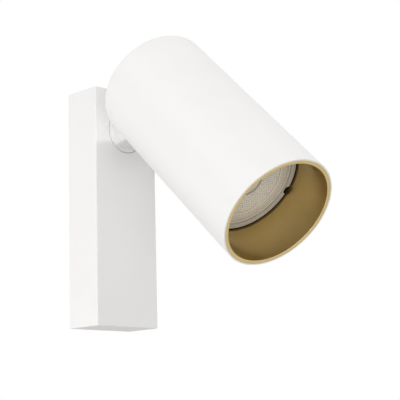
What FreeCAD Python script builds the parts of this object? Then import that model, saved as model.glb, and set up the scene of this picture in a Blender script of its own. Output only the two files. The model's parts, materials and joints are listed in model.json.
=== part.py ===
import FreeCAD, Part
import Sketcher
import math
import os

# Pivoting spotlight wall light: a slim wall box, a swivel with a tongue, and a tubular lamp head.
# Millimetres, +Z up, +X to the right along the wall, the wall is the plane Y = 0 and the light
# stands out of it towards -Y. The origin is the middle of the box's back, on the wall.

SIZES = (
    # wall box
    ("base_width", "38.0", "box along the wall"),
    ("base_depth", "21.2", "box out from the wall"),
    ("base_height", "116.6", "box up the wall"),
    ("base_wall", "1.5", "box sheet"),
    ("base_edge", "0.5", "rounding of the box's outer edges"),
    ("swivel_drop", "20.2", "swivel axis below the box's top"),
    ("fit_gap", "0.5", "space round a part that slips into the box"),
    # mounting bracket on the wall
    ("bracket_plate", "1.5", "bracket sheet"),
    ("bracket_tab_width", "12.0", "bent tab at each end"),
    ("bracket_tab_reach", "11.0", "tab out from the wall"),
    ("wall_slot_spacing", "92.0", "between the two wall screws"),
    ("wall_slot_width", "4.5", "for a 4 mm wall screw"),
    ("wall_slot_length", "8.0", "end to end"),
    ("cover_screw_out", "7.0", "cover screw and peg, out from the wall"),
    ("cover_screw_shank", "1.5", "M3 radius"),
    ("cover_screw_length", "6.0", "under the head"),
    ("cover_screw_head", "2.75", "radius"),
    ("cover_screw_rise", "1.6", "height of the head"),
    ("peg_radius", "1.5", "peg inside the box's floor"),
    ("peg_length", "4.0", "above the box's floor"),
    ("hole_play", "0.1", "round a screw or peg in a plain hole"),
    # supply entry
    ("entry_drop", "30.0", "cable entry below the middle of the box"),
    ("entry_bore", "3.5", "radius of the hole for the supply cable"),
    ("grommet_wall", "2.5", "rubber round the cable"),
    ("grommet_lip", "1.5", "lip wider than the hole in the bracket"),
    ("grommet_rise", "2.0", "lip in front of the bracket"),
    # terminal block
    ("terminal_drop", "8.0", "terminal block below the middle of the box"),
    ("pole_pitch", "8.5", "between poles"),
    ("pole_width", "7.0", "barrel of one pole"),
    ("block_length", "18.0", "along the wires"),
    ("block_body", "5.0", "height of the block's base"),
    ("block_barrel", "11.0", "height to the top of the barrels"),
    ("insert_radius", "2.2", "brass insert, outside"),
    ("insert_bore", "1.4", "brass insert, inside"),
    ("insert_end_gap", "1.0", "insert back from the block's ends"),
    ("clamp_screw_radius", "1.2", "wire clamp screw"),
    ("clamp_screw_spread", "4.5", "each clamp screw from the middle of the block"),
    ("clamp_screw_sink", "0.8", "screw top below the barrel's top"),
    ("fixing_screw_radius", "1.25", "block's fixing screw"),
    ("fixing_screw_head", "1.8", "radius"),
    ("fixing_screw_rise", "1.5", "height of the head"),
    # earth terminal on the bracket
    ("earth_inset", "7.0", "earth screw in from the bracket's edge"),
    ("earth_height", "18.0", "earth screw above the middle"),
    ("earth_screw_radius", "2.0", "M4"),
    ("earth_screw_head", "3.6", "radius"),
    ("earth_screw_rise", "2.6", "height of the head"),
    ("lug_radius", "4.0", "ring of the earth lug"),
    ("lug_sheet", "0.8", "earth lug"),
    ("lug_tail", "8.0", "lug's barrel beyond the screw's axis"),
    # swivel plate behind the box's front
    ("plate_sheet", "2.0", "swivel plate"),
    ("stud_inset", "5.0", "stud in from the edge of the plate"),
    ("stud_radius", "1.5", "M3 weld stud"),
    ("nut_flats", "5.5", "M3 nut across the flats"),
    ("nut_height", "2.4", "M3 nut"),
    ("stop_pin_radius", "1.0", "pin that ends the turn"),
    ("stop_pin_rise", "2.4", "pin behind the plate"),
    ("stop_orbit", "9.8", "pin from the swivel axis"),
    # swivel
    ("disc_radius", "10.5", "round foot of the tongue"),
    ("disc_gap", "0.3", "line round the disc"),
    ("disc_rise", "0.2", "disc proud of the box"),
    ("disc_edge", "0.2", "rounding of the disc's edge"),
    ("rub_gap", "0.1", "between faces that turn on each other"),
    ("pin_play", "0.05", "round a shaft in its bearing"),
    ("stem_radius", "5.0", "M10 hollow stem"),
    ("stem_bore", "3.0", "wire way through the stem"),
    ("stem_seat", "3.5", "stem into the tongue, from the box's face"),
    ("stem_tail", "0.7", "stem past its nut"),
    ("washer_sheet", "0.5", "nylon washers"),
    ("washer_rim", "3.6", "nylon washer wider than the stem"),
    ("stop_sheet", "1.0", "stop washer"),
    ("stop_rim", "3.0", "stop washer wider than the stem"),
    ("stop_tab", "2.0", "width of the stop tab"),
    ("spring_sheet", "0.6", "conical spring washer"),
    ("spring_rise", "0.6", "height of its cone"),
    ("stem_nut_flats", "14.0", "thin M10 nut across the flats"),
    ("stem_nut_height", "4.0", "thin M10 nut"),
    ("tongue_width", "14.6", "across the flat cheeks"),
    ("tongue_root", "15.4", "height of the tongue at the box"),
    ("tongue_edge", "1.5", "rounding of the tongue's long edges"),
    ("eye_radius", "4.65", "round end of the tongue"),
    ("pivot_reach", "13.8", "tilt axis out from the box's face"),
    ("fork_slot", "5.2", "space between the cheeks"),
    # tilt pivot
    ("pivot_thread", "2.0", "M4 radius, in the cheeks"),
    ("pivot_shoulder", "3.0", "radius that the ears turn on"),
    ("pivot_head", "3.6", "radius of the screw's head"),
    ("pivot_head_rise", "2.2", "height of the screw's head"),
    ("pivot_socket", "1.5", "hex socket, half the corner distance"),
    ("friction_sheet", "0.5", "friction washer"),
    # head, along its own axis from the rear
    ("tilt", "43.66", "degrees below level, as photographed"),
    ("lamp_radius", "25.0", "lamp of 50 mm"),
    ("lamp_gap", "0.6", "dark line round the lamp"),
    ("baffle_wall", "0.8", "front ring and sleeve"),
    ("baffle_gap", "0.1", "sleeve in the tube"),
    ("baffle_length", "30.0", "sleeve from the mouth"),
    ("flange_rim", "0.75", "edge of the tube left outside the ring"),
    ("flange_sheet", "0.8", "ring at the mouth"),
    ("tube_wall", "1.5", "head tube"),
    ("tube_cap", "2.0", "closed rear of the tube"),
    ("tube_rear_edge", "2.3", "rounding at the rear"),
    ("tube_mouth_edge", "0.2", "rounding at the mouth"),
    ("pivot_axial", "7.4", "tilt axis in front of the tube's rear"),
    ("pivot_inset", "8.5", "tilt axis inside the tube's outer face"),
    ("slot_play", "0.4", "between the tongue and its slot"),
    ("bridge_offset", "9.5", "bridge plate in front of the tilt axis"),
    ("bridge_sheet", "1.5", "bridge plate and ears"),
    ("bridge_gap", "1.0", "bridge plate clear of the tube"),
    ("post_side", "15.0", "posts beside the axis"),
    ("post_up", "9.0", "posts above the axis"),
    ("post_radius", "3.4", "posts on the tube's rear"),
    ("post_screw", "1.5", "M3 radius"),
    ("post_screw_length", "7.0", "under the head"),
    ("post_screw_head", "2.75", "radius"),
    ("post_screw_rise", "1.8", "height of the head"),
    # lamp holder
    ("holder_radius", "13.0", "ceramic holder"),
    ("holder_height", "20.0", "ceramic holder"),
    ("holder_edge", "1.0", "rounding of its rims"),
    ("holder_screw", "1.5", "M3 radius"),
    ("holder_screw_side", "9.6", "screws from the axis"),
    ("holder_screw_head", "2.6", "radius"),
    ("holder_screw_rise", "1.8", "height of the head"),
    ("holder_screw_sink", "12.0", "depth of the screw wells"),
    ("holder_screw_tail", "1.0", "screw through the bridge plate"),
    ("keyhole_depth", "9.0", "lamp pin wells"),
    ("keyhole_play", "0.4", "round a pin's head"),
    ("contact_sheet", "0.6", "brass contacts"),
    ("lead_entry", "6.0", "side holes for the leads, above the holder's foot"),
    # lamp
    ("lamp_seat", "0.2", "lamp's foot to the holder"),
    ("lamp_length", "46.0", "lamp's foot to its face"),
    ("lamp_depth", "23.2", "lamp's face behind the mouth"),
    ("lamp_wall", "1.4", "lamp housing"),
    ("lamp_rim", "4.0", "straight rim of the lamp"),
    ("lamp_neck_radius", "13.0", "narrow end of the cone"),
    ("lamp_neck", "12.0", "lamp's foot to the cone"),
    ("lamp_foot_radius", "9.5", "foot with the pins"),
    ("bezel_sheet", "1.6", "ring round the lens"),
    ("bezel_width", "2.7", "from the lamp's edge in to the lens"),
    ("lens_sink", "0.5", "lens behind the bezel's face"),
    ("lens_sheet", "2.0", "lens"),
    ("lens_dimple", "7.2", "round hollow in the middle"),
    ("lens_dimple_depth", "0.9", "its depth"),
    ("notch_width", "4.0", "notch in the bezel"),
    ("notch_depth", "1.5", "notch in the bezel"),
    ("board_sheet", "1.6", "circuit boards"),
    ("led_board_gap", "5.0", "board behind the lens"),
    ("chip_orbit", "12.0", "light chips from the axis"),
    ("chip_side", "3.0", "light chip"),
    ("chip_height", "0.8", "light chip"),
    ("driver_width", "18.0", "driver board"),
    ("driver_length", "18.0", "driver board"),
    ("capacitor_radius", "3.2", "driver's capacitor"),
    ("capacitor_length", "9.0", "driver's capacitor"),
    ("pin_spacing", "10.0", "between the lamp's pins"),
    ("pin_neck", "1.5", "radius"),
    ("pin_neck_length", "4.2", "pin neck"),
    ("pin_head", "2.5", "radius"),
    ("pin_head_length", "2.8", "pin head"),
    # leads
    ("lead_radius", "2.0", "sheathed three-core lead"),
    ("lead_gap", "0.3", "between lead sections at a turning joint"),
    ("lead_straight", "1.0", "lead straight out of the stem's end"),
    ("lead_drop", "14.0", "sheath's end below the swivel axis"),
    ("core_radius", "0.8", "one core"),
    ("core_bend", "2.5", "bend of a core"),
    ("core_offset", "1.0", "cores side by side in the sheath"),
)

DOCUMENT = FreeCAD.newDocument("spotlight")
SHEET = DOCUMENT.addObject("Spreadsheet::Sheet", "Sizes")
for row, (alias, amount, note) in enumerate(SIZES, start=1):
    SHEET.set(f"A{row}", note)
    SHEET.set(f"B{row}", amount)
    SHEET.setAlias(f"B{row}", alias)
DOCUMENT.recompute()

VECTOR = FreeCAD.Vector
TOUCH = 1e-4
FULL_TURN = 360.0
RIGHT_ANGLE = 90.0
OVERSHOOT = 1        # a through cut, past each face
SOCKET_FLOOR = 0.4   # metal under a screw's socket, as a share of the head's height
SOCKET_SHARE = 0.7   # a screw's socket, from its middle to a corner, as a share of the shank's radius
CORE_RUN = 1.5       # straight run before a core's bend, in radii of the bend
LIVE_ANGLE = 150     # where each core lies in the sheath, in degrees
NEUTRAL_ANGLE = 270
EARTH_ANGLE = 30


# ---- sizes that carry their own sheet expression ----------------------------------------------

class Size:
    """A number and the sheet expression that gives it, so that one formula serves both."""

    def __init__(self, value, text):
        self.value = value
        self.text = text

    def __add__(self, other):
        other = as_size(other)
        return Size(self.value + other.value, f"({self.text} + {other.text})")

    def __sub__(self, other):
        other = as_size(other)
        return Size(self.value - other.value, f"({self.text} - {other.text})")

    def __mul__(self, other):
        other = as_size(other)
        return Size(self.value * other.value, f"({self.text} * {other.text})")

    def __truediv__(self, other):
        other = as_size(other)
        return Size(self.value / other.value, f"({self.text} / {other.text})")

    def __neg__(self):
        return as_size(0) - self

    def __radd__(self, other):
        return as_size(other) + self

    def __rsub__(self, other):
        return as_size(other) - self

    def __rmul__(self, other):
        return as_size(other) * self


def as_size(item):
    if isinstance(item, Size):
        return item
    return Size(float(item), f"{float(item):.6f}")


def cell(alias):
    return Size(float(SHEET.get(alias)), f"Sizes.{alias}")


def sine(angle):
    return Size(math.sin(math.radians(angle.value)), f"sin({angle.text})")


def cosine(angle):
    return Size(math.cos(math.radians(angle.value)), f"cos({angle.text})")


HEX_COSINE = cosine(as_size(RIGHT_ANGLE / 3))   # a hexagon's flats to its corners


def bind(item, path, amount):
    """Tie one property of an object to the sheet."""
    item.setExpression(path, as_size(amount).text)


# ---- frames: each piece is drawn with +Z out of its seat, and then placed ---------------------

class Frame:
    """A place that is turned about X only."""

    def __init__(self, out, up, angle):
        self.out = out
        self.up = up
        self.angle = angle


def place(item, frame):
    base = VECTOR(0, frame.out.value, frame.up.value)
    turn = FreeCAD.Rotation(VECTOR(1, 0, 0), frame.angle.value)
    item.Placement = FreeCAD.Placement(base, turn)
    bind(item, "Placement.Base.y", frame.out)
    bind(item, "Placement.Base.z", frame.up)
    bind(item, "Placement.Rotation.Angle", frame.angle)


def piece(name, frame):
    """A new sub-part as a body in its frame."""
    body = DOCUMENT.addObject("PartDesign::Body", name)
    body.Label = name
    place(body, frame)
    return body


def group(name, members):
    """Alike pieces of one node, as separate solids."""
    compound = DOCUMENT.addObject("Part::Compound", name)
    compound.Label = name
    compound.Links = members
    return compound


# ---- features ---------------------------------------------------------------------------------

TURNS = {
    "+x": FreeCAD.Rotation(VECTOR(0, 1, 0), RIGHT_ANGLE),
    "-x": FreeCAD.Rotation(VECTOR(0, 1, 0), -RIGHT_ANGLE),
    "+y": FreeCAD.Rotation(VECTOR(1, 0, 0), -RIGHT_ANGLE),
    "-y": FreeCAD.Rotation(VECTOR(1, 0, 0), RIGHT_ANGLE),
    "+z": FreeCAD.Rotation(),
    "-z": FreeCAD.Rotation(VECTOR(1, 0, 0), 2 * RIGHT_ANGLE),
}
STEPS = {
    "+x": (1, 0, 0), "-x": (-1, 0, 0),
    "+y": (0, 1, 0), "-y": (0, -1, 0),
    "+z": (0, 0, 1), "-z": (0, 0, -1),
}


def along(point, direction, distance):
    """The point moved by a distance in one of the six directions."""
    return tuple(as_size(p) + step * as_size(distance) for p, step in zip(point, STEPS[direction]))


def primitive(body, kind, point, direction, sizes):
    feature = body.newObject(f"PartDesign::{kind}", f"{body.Name}_{kind}")
    point = tuple(as_size(p) for p in point)
    feature.Placement = FreeCAD.Placement(VECTOR(*(p.value for p in point)), TURNS[direction])
    for axis, amount in zip("xyz", point):
        bind(feature, f"Placement.Base.{axis}", amount)
    for path, amount in sizes.items():
        bind(feature, path, amount)
    return feature


def rod(body, point, direction, radius, length, cut=False):
    """A round rod, or a round hole, from a point in one of the six directions."""
    kind = "SubtractiveCylinder" if cut else "AdditiveCylinder"
    return primitive(body, kind, point, direction, {"Radius": radius, "Height": length})


def block(body, low, high, cut=False):
    """A box between two corners, added or cut."""
    kind = "SubtractiveBox" if cut else "AdditiveBox"
    spans = [as_size(b) - as_size(a) for a, b in zip(low, high)]
    return primitive(body, kind, low, "+z", dict(zip(("Length", "Width", "Height"), spans)))


def hexagon(body, point, direction, corner, length, cut=False):
    """A six-sided prism, added or cut."""
    kind = "SubtractivePrism" if cut else "AdditivePrism"
    feature = primitive(body, kind, point, direction, {"Circumradius": corner, "Height": length})
    feature.Polygon = 6
    return feature


def outline(body, plane, corners, offset=0):
    """A closed sketch whose corners are all bound to the sheet."""
    sketch = body.newObject("Sketcher::SketchObject", f"{body.Name}_sketch")
    support = next(item for item in body.Origin.OriginFeatures if item.Role == plane)
    sketch.AttachmentSupport = (support, [""])
    sketch.MapMode = "FlatFace"
    sketch.AttachmentOffset = FreeCAD.Placement(VECTOR(0, 0, as_size(offset).value), FreeCAD.Rotation())
    bind(sketch, "AttachmentOffset.Base.z", offset)
    corners = [(as_size(a), as_size(b)) for a, b in corners]
    count = len(corners)
    for i, (a, b) in enumerate(corners):
        c, d = corners[(i + 1) % count]
        sketch.addGeometry(Part.LineSegment(VECTOR(a.value, b.value, 0), VECTOR(c.value, d.value, 0)))
    for i in range(count):
        sketch.addConstraint(Sketcher.Constraint("Coincident", i, 2, (i + 1) % count, 1))
    for i, corner in enumerate(corners):
        for way, amount in zip(("DistanceX", "DistanceY"), corner):
            index = sketch.addConstraint(Sketcher.Constraint(way, -1, 1, i, 1, amount.value))
            bind(sketch, f"Constraints[{index}]", amount)
    return sketch


def pad(body, plane, corners, length, offset=0, midplane=False):
    feature = body.newObject("PartDesign::Pad", f"{body.Name}_pad")
    feature.Profile = outline(body, plane, corners, offset)
    feature.Midplane = midplane
    bind(feature, "Length", length)
    return feature


def turned(body, corners, cut=False):
    """A profile of (radius, height) corners, turned about the body's Z axis."""
    kind = "Groove" if cut else "Revolution"
    feature = body.newObject(f"PartDesign::{kind}", f"{body.Name}_{kind}")
    sketch = outline(body, "XZ_Plane", corners)
    feature.Profile = sketch
    feature.ReferenceAxis = (sketch, ["V_Axis"])
    feature.Angle = FULL_TURN
    return feature


def ring(body, inner, outer, bottom, top):
    """A flat ring or a sleeve about the body's Z axis."""
    return turned(body, ((inner, bottom), (outer, bottom), (outer, top), (inner, top)))


def rounded(body, radius, chosen):
    """Round the edges of the body that a test on their bounding box picks out."""
    DOCUMENT.recompute()
    base = body.Tip
    names = [f"Edge{i}" for i, edge in enumerate(base.Shape.Edges, start=1) if chosen(edge.BoundBox)]
    feature = body.newObject("PartDesign::Fillet", f"{body.Name}_Fillet")
    feature.Base = (base, names)
    bind(feature, "Radius", radius)
    return feature


def level(box, height):
    """Whether an edge lies wholly at one height."""
    return abs(box.ZMin - height.value) < TOUCH and abs(box.ZMax - height.value) < TOUCH


def bore_through(body, point, direction, radius, thickness):
    """A round hole through a thickness, started a little before it and ended a little after it."""
    rod(body, along(point, direction, -OVERSHOOT), direction, radius, thickness + OVERSHOOT * 2, cut=True)


def screw_head(body, seat, direction, head, rise, socket):
    """A cylinder head with a hex socket."""
    rod(body, seat, direction, head, rise)
    hexagon(body, along(seat, direction, rise * SOCKET_FLOOR), direction, socket, rise, cut=True)


def screw(body, seat, direction, shank, length, head, rise):
    """A cylinder-head screw: its head stands from the seat, its shank goes the other way."""
    back = {"+": "-", "-": "+"}[direction[0]] + direction[1]
    rod(body, seat, back, shank, length)
    screw_head(body, seat, direction, head, rise, shank * SOCKET_SHARE)


def stadium_cut(body, centre_y, width, length, bottom, top):
    """A slot along Y through a plate, with round ends."""
    half = width / 2
    run = length / 2 - half
    block(body, (-half, centre_y - run, bottom), (half, centre_y + run, top), cut=True)
    for end in (centre_y - run, centre_y + run):
        rod(body, (0, end, bottom), "+z", half, top - bottom, cut=True)


def route(points, bend):
    """A wire of straight runs joined by tangent arcs, through 3D points."""
    points = [VECTOR(*(as_size(c).value for c in point)) for point in points]
    edges = []
    start = points[0]
    for before, corner, after in zip(points, points[1:], points[2:]):
        arriving = (corner - before).normalize()
        leaving = (after - corner).normalize()
        half_turn = arriving.getAngle(leaving) / 2
        cut = bend.value * math.tan(half_turn)
        first = corner - arriving * cut
        last = corner + leaving * cut
        inward = (leaving - arriving).normalize()
        middle = corner + inward * (bend.value / math.cos(half_turn) - bend.value)
        edges.append(Part.LineSegment(start, first).toShape())
        edges.append(Part.Arc(first, middle, last).toShape())
        start = last
    edges.append(Part.LineSegment(start, points[-1]).toShape())
    return Part.Wire(edges)


def lead(name, frame, points, radius, bend, ball=False):
    """A lead along a route in its frame; a ball end turns in place on a joint."""
    spine = route(points, bend)
    first = spine.Edges[0]
    start = first.valueAt(first.FirstParameter)
    heading = first.tangentAt(first.FirstParameter)
    circle = Part.Wire([Part.Circle(start, heading, radius.value).toShape()])
    shape = spine.makePipeShell([circle], True, False)
    if ball:
        shape = shape.fuse(Part.makeSphere(radius.value, start)).removeSplitter()
    feature = DOCUMENT.addObject("Part::Feature", name)
    feature.Label = name
    feature.Shape = shape.Solids[0]
    place(feature, frame)
    return feature


# ---- places worked out once -------------------------------------------------------------------

WALL = Frame(as_size(0), as_size(0), as_size(RIGHT_ANGLE))

SWIVEL_HEIGHT = cell("base_height") / 2 - cell("swivel_drop")
SWIVEL = Frame(-cell("base_depth"), SWIVEL_HEIGHT, as_size(RIGHT_ANGLE))

TUBE_BORE = cell("lamp_radius") + cell("lamp_gap") + cell("baffle_wall") + cell("baffle_gap")
TUBE_RADIUS = TUBE_BORE + cell("tube_wall")
PIVOT_DOWN = TUBE_RADIUS - cell("pivot_inset")
BRIDGE = cell("pivot_axial") + cell("bridge_offset")
HOLDER = BRIDGE + cell("bridge_sheet")
LAMP_FOOT = HOLDER + cell("holder_height") + cell("lamp_seat")
LAMP_FACE = LAMP_FOOT + cell("lamp_length")
MOUTH = LAMP_FACE + cell("lamp_depth")

PIVOT_OUT = cell("base_depth") + cell("pivot_reach")
HEAD = Frame(
    cell("pivot_axial") * cosine(cell("tilt")) - PIVOT_DOWN * sine(cell("tilt")) - PIVOT_OUT,
    SWIVEL_HEIGHT + PIVOT_DOWN * cosine(cell("tilt")) + cell("pivot_axial") * sine(cell("tilt")),
    cell("tilt") + RIGHT_ANGLE,
)

FRONT = cell("base_depth") - cell("base_wall")
INNER_HALF = cell("base_width") / 2 - cell("base_wall") - cell("fit_gap")
INNER_TOP = cell("base_height") / 2 - cell("base_wall") - cell("fit_gap")
PLATE_HALF = cell("swivel_drop") - cell("base_wall") - cell("fit_gap")
STUDS = [(x * (INNER_HALF - cell("stud_inset")), y * (PLATE_HALF - cell("stud_inset")))
         for x in (-1, 1) for y in (-1, 1)]

TERMINAL = -cell("terminal_drop")
EARTH_SIDE = INNER_HALF - cell("earth_inset")

PLATE_FRONT = -cell("base_wall")
PLATE_BACK = PLATE_FRONT - cell("plate_sheet")
DISC_BACK = PLATE_FRONT + cell("rub_gap") + cell("washer_sheet")
INNER_WASHER = PLATE_BACK - cell("rub_gap") - cell("washer_sheet")
STOP_WASHER = INNER_WASHER - cell("stop_sheet")
SPRING_WASHER = STOP_WASHER - cell("spring_sheet") - cell("spring_rise")
STEM_NUT = SPRING_WASHER - cell("stem_nut_height")
STEM_END = STEM_NUT - cell("stem_tail")

CHEEK = cell("tongue_width") / 2
EAR_INNER = CHEEK + cell("friction_sheet") + cell("rub_gap")
EAR_OUTER = EAR_INNER + cell("bridge_sheet")
SHOULDER_END = EAR_OUTER + cell("rub_gap")


def tongue_half_height(distance):
    """Half the tongue's height at a distance behind the tilt axis."""
    slope = (cell("tongue_root") / 2 - cell("eye_radius")) / cell("pivot_reach")
    return cell("eye_radius") + slope * distance


# ---- wall box ---------------------------------------------------------------------------------

def wall_housing():
    """The white box: open at the back, with weld studs for the swivel plate and a peg in its floor."""
    body = piece("wall_housing", WALL)
    half = cell("base_width") / 2
    top = cell("base_height") / 2
    wall = cell("base_wall")
    block(body, (-half, -top, 0), (half, top, cell("base_depth")))
    rounded(body, cell("base_edge"), lambda box: box.ZMax > TOUCH)
    block(body, (wall - half, wall - top, 0), (half - wall, top - wall, FRONT), cut=True)
    swivel = (0, SWIVEL_HEIGHT, FRONT)
    rod(body, swivel, "+z", cell("disc_radius") + cell("disc_gap"), wall * 2, cut=True)
    screw_hole = (0, top - wall * 2, cell("cover_screw_out"))
    rod(body, screw_hole, "+y", cell("cover_screw_shank") + cell("hole_play"), wall * 3, cut=True)
    peg_foot = (0, wall / 2 - top, cell("cover_screw_out"))
    rod(body, peg_foot, "+y", cell("peg_radius"), cell("peg_length") + wall / 2)
    reach = cell("plate_sheet") + cell("nut_height") + wall
    for x, y in STUDS:
        foot = (x, SWIVEL_HEIGHT + y, FRONT + wall / 2)
        rod(body, foot, "-z", cell("stud_radius"), reach)
    return body


def wall_bracket():
    """The steel strap that stays on the wall, with two slots, a cable hole and a tab at each end."""
    body = piece("wall_bracket", WALL)
    sheet = cell("bracket_plate")
    half_tab = cell("bracket_tab_width") / 2
    block(body, (-INNER_HALF, -INNER_TOP, 0), (INNER_HALF, INNER_TOP, sheet))
    block(body, (-half_tab, INNER_TOP - sheet, 0), (half_tab, INNER_TOP, cell("bracket_tab_reach")))
    block(body, (-half_tab, -INNER_TOP, 0), (half_tab, sheet - INNER_TOP, cell("bracket_tab_reach")))
    screw_out = cell("cover_screw_out")
    rod(body, (0, INNER_TOP - sheet * 2, screw_out), "+y", cell("cover_screw_shank"), sheet * 3, cut=True)
    peg_hole = cell("peg_radius") + cell("hole_play")
    rod(body, (0, -INNER_TOP - sheet, screw_out), "+y", peg_hole, sheet * 3, cut=True)
    for way in (-1, 1):
        centre = way * cell("wall_slot_spacing") / 2
        stadium_cut(body, centre, cell("wall_slot_width"), cell("wall_slot_length"), -sheet, sheet * 2)
    entry = cell("entry_bore") + cell("grommet_wall")
    rod(body, (0, -cell("entry_drop"), -sheet), "+z", entry, sheet * 3, cut=True)
    fixing = (-cell("pole_pitch") / 2, TERMINAL, -sheet)
    rod(body, fixing, "+z", cell("fixing_screw_radius"), sheet * 3, cut=True)
    earth = (EARTH_SIDE, cell("earth_height"), -sheet)
    rod(body, earth, "+z", cell("earth_screw_radius"), sheet * 3, cut=True)
    return body


def cover_screw():
    """One screw down through the box's top into the bracket's tab."""
    body = piece("cover_screw", WALL)
    seat = (0, cell("base_height") / 2, cell("cover_screw_out"))
    screw(body, seat, "+y", cell("cover_screw_shank"), cell("cover_screw_length"),
          cell("cover_screw_head"), cell("cover_screw_rise"))
    return body


def cable_grommet():
    """A rubber bush in the bracket's cable hole."""
    body = piece("cable_grommet", WALL)
    height = -cell("entry_drop")
    neck = cell("entry_bore") + cell("grommet_wall")
    sheet = cell("bracket_plate")
    rod(body, (0, height, 0), "+z", neck, sheet)
    rod(body, (0, height, sheet), "+z", neck + cell("grommet_lip"), cell("grommet_rise"))
    rod(body, (0, height, -sheet), "+z", cell("entry_bore"), sheet * 3 + cell("grommet_rise"), cut=True)
    return body


def poles():
    return [cell("pole_pitch") * i for i in (-1, 0, 1)]


def terminal_block():
    """Three-pole terminal block: a base, three barrels, wire bores and screw wells."""
    body = piece("terminal_block", WALL)
    foot = cell("bracket_plate")
    low = TERMINAL - cell("block_length") / 2
    high = TERMINAL + cell("block_length") / 2
    side = cell("pole_pitch") + cell("pole_width") / 2
    half_pole = cell("pole_width") / 2
    block(body, (-side, low, foot), (side, high, foot + cell("block_body")))
    for x in poles():
        block(body, (x - half_pole, low, foot), (x + half_pole, high, foot + cell("block_barrel")))
    insert_height = foot + cell("block_body")
    for x in poles():
        start = (x, low - foot, insert_height)
        rod(body, start, "+y", cell("insert_radius"), cell("block_length") + foot * 2, cut=True)
        for way in (-1, 1):
            well = (x, TERMINAL + way * cell("clamp_screw_spread"), insert_height)
            rod(body, well, "+z", cell("clamp_screw_radius"), cell("block_barrel"), cut=True)
    fixing = (-cell("pole_pitch") / 2, TERMINAL, foot)
    rod(body, fixing, "+z", cell("fixing_screw_radius"), cell("block_body") * 2, cut=True)
    head_well = along(fixing, "+z", cell("block_body"))
    rod(body, head_well, "+z", cell("fixing_screw_head"), cell("block_barrel"), cut=True)
    return body


def terminal_inserts():
    """Brass tubes in the block, one to a pole, each with two threaded holes."""
    members = []
    for i, x in enumerate(poles()):
        body = piece(f"terminal_insert_{i}", WALL)
        length = cell("block_length") - cell("insert_end_gap") * 2
        height = cell("bracket_plate") + cell("block_body")
        start = (x, TERMINAL - length / 2, height)
        rod(body, start, "+y", cell("insert_radius"), length)
        bore_through(body, start, "+y", cell("insert_bore"), length)
        for way in (-1, 1):
            hole = (x, TERMINAL + way * cell("clamp_screw_spread"), height)
            rod(body, hole, "+z", cell("clamp_screw_radius"), cell("block_barrel"), cut=True)
        members.append(body)
    return group("terminal_inserts", members)


def terminal_screws():
    """Slotted clamp screws, two to a pole, on the cores or the bottom of the bore."""
    members = []
    top = cell("bracket_plate") + cell("block_barrel") - cell("clamp_screw_sink")
    bottom = cell("bracket_plate") + cell("block_body") + cell("core_radius")
    for i, x in enumerate(poles()):
        for way in (-1, 1):
            body = piece(f"terminal_screw_{i}_{way + 1}", WALL)
            y = TERMINAL + way * cell("clamp_screw_spread")
            rod(body, (x, y, bottom), "+z", cell("clamp_screw_radius"), top - bottom)
            radius = cell("clamp_screw_radius")
            slot_low = (x - radius * 2, y - radius / 4, top - radius / 2)
            block(body, slot_low, (x + radius * 2, y + radius / 4, top + radius), cut=True)
            members.append(body)
    return group("terminal_screws", members)


def terminal_fixing_screw():
    """The screw that holds the terminal block to the bracket."""
    body = piece("terminal_fixing_screw", WALL)
    seat = (-cell("pole_pitch") / 2, TERMINAL, cell("bracket_plate") + cell("block_body"))
    screw(body, seat, "+z", cell("fixing_screw_radius"), cell("block_body") + cell("bracket_plate"),
          cell("fixing_screw_head"), cell("fixing_screw_rise"))
    return body


def earth_screw():
    body = piece("earth_screw", WALL)
    seat = (EARTH_SIDE, cell("earth_height"), cell("bracket_plate") + cell("lug_sheet"))
    screw(body, seat, "+z", cell("earth_screw_radius"), cell("lug_sheet") + cell("bracket_plate"),
          cell("earth_screw_head"), cell("earth_screw_rise"))
    return body


def earth_lug():
    """A ring lug under the earth screw, with the barrel that holds the core."""
    body = piece("earth_lug", WALL)
    foot = cell("bracket_plate")
    x = EARTH_SIDE
    y = cell("earth_height")
    core = cell("core_radius")
    rod(body, (x, y, foot), "+z", cell("lug_radius"), cell("lug_sheet"))
    block(body, (x - core, y - cell("lug_tail"), foot), (x + core, y, foot + cell("lug_sheet")))
    barrel = (x, y - cell("lug_tail"), foot + core * 2)
    rod(body, barrel, "+y", core * 2, cell("lug_tail") - cell("earth_screw_head") - cell("lug_sheet"))
    rod(body, along(barrel, "-y", core), "+y", core, cell("lug_tail"), cut=True)
    rod(body, (x, y, 0), "+z", cell("earth_screw_radius"), foot * 3, cut=True)
    return body


def swivel_plate():
    """The steel plate behind the box's front that carries the swivel and its stop pin."""
    body = piece("swivel_plate", SWIVEL)
    block(body, (-INNER_HALF, -PLATE_HALF, PLATE_BACK), (INNER_HALF, PLATE_HALF, PLATE_FRONT))
    through = cell("plate_sheet") * 3
    start = PLATE_BACK - cell("plate_sheet")
    rod(body, (0, 0, start), "+z", cell("stem_radius") + cell("pin_play"), through, cut=True)
    for x, y in STUDS:
        rod(body, (x, y, start), "+z", cell("stud_radius") + cell("hole_play"), through, cut=True)
    pin = (0, cell("stop_orbit"), PLATE_BACK + cell("plate_sheet") / 2)
    rod(body, pin, "-z", cell("stop_pin_radius"), cell("stop_pin_rise") + cell("plate_sheet") / 2)
    return body


def plate_nuts():
    """Four nuts on the weld studs."""
    members = []
    corner = cell("nut_flats") / 2 / HEX_COSINE
    for i, (x, y) in enumerate(STUDS):
        body = piece(f"plate_nut_{i}", SWIVEL)
        seat = (x, y, PLATE_BACK - cell("nut_height"))
        hexagon(body, seat, "+z", corner, cell("nut_height"))
        bore_through(body, seat, "+z", cell("stud_radius"), cell("nut_height"))
        members.append(body)
    return group("plate_nuts", members)


# ---- swivel -----------------------------------------------------------------------------------

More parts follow.
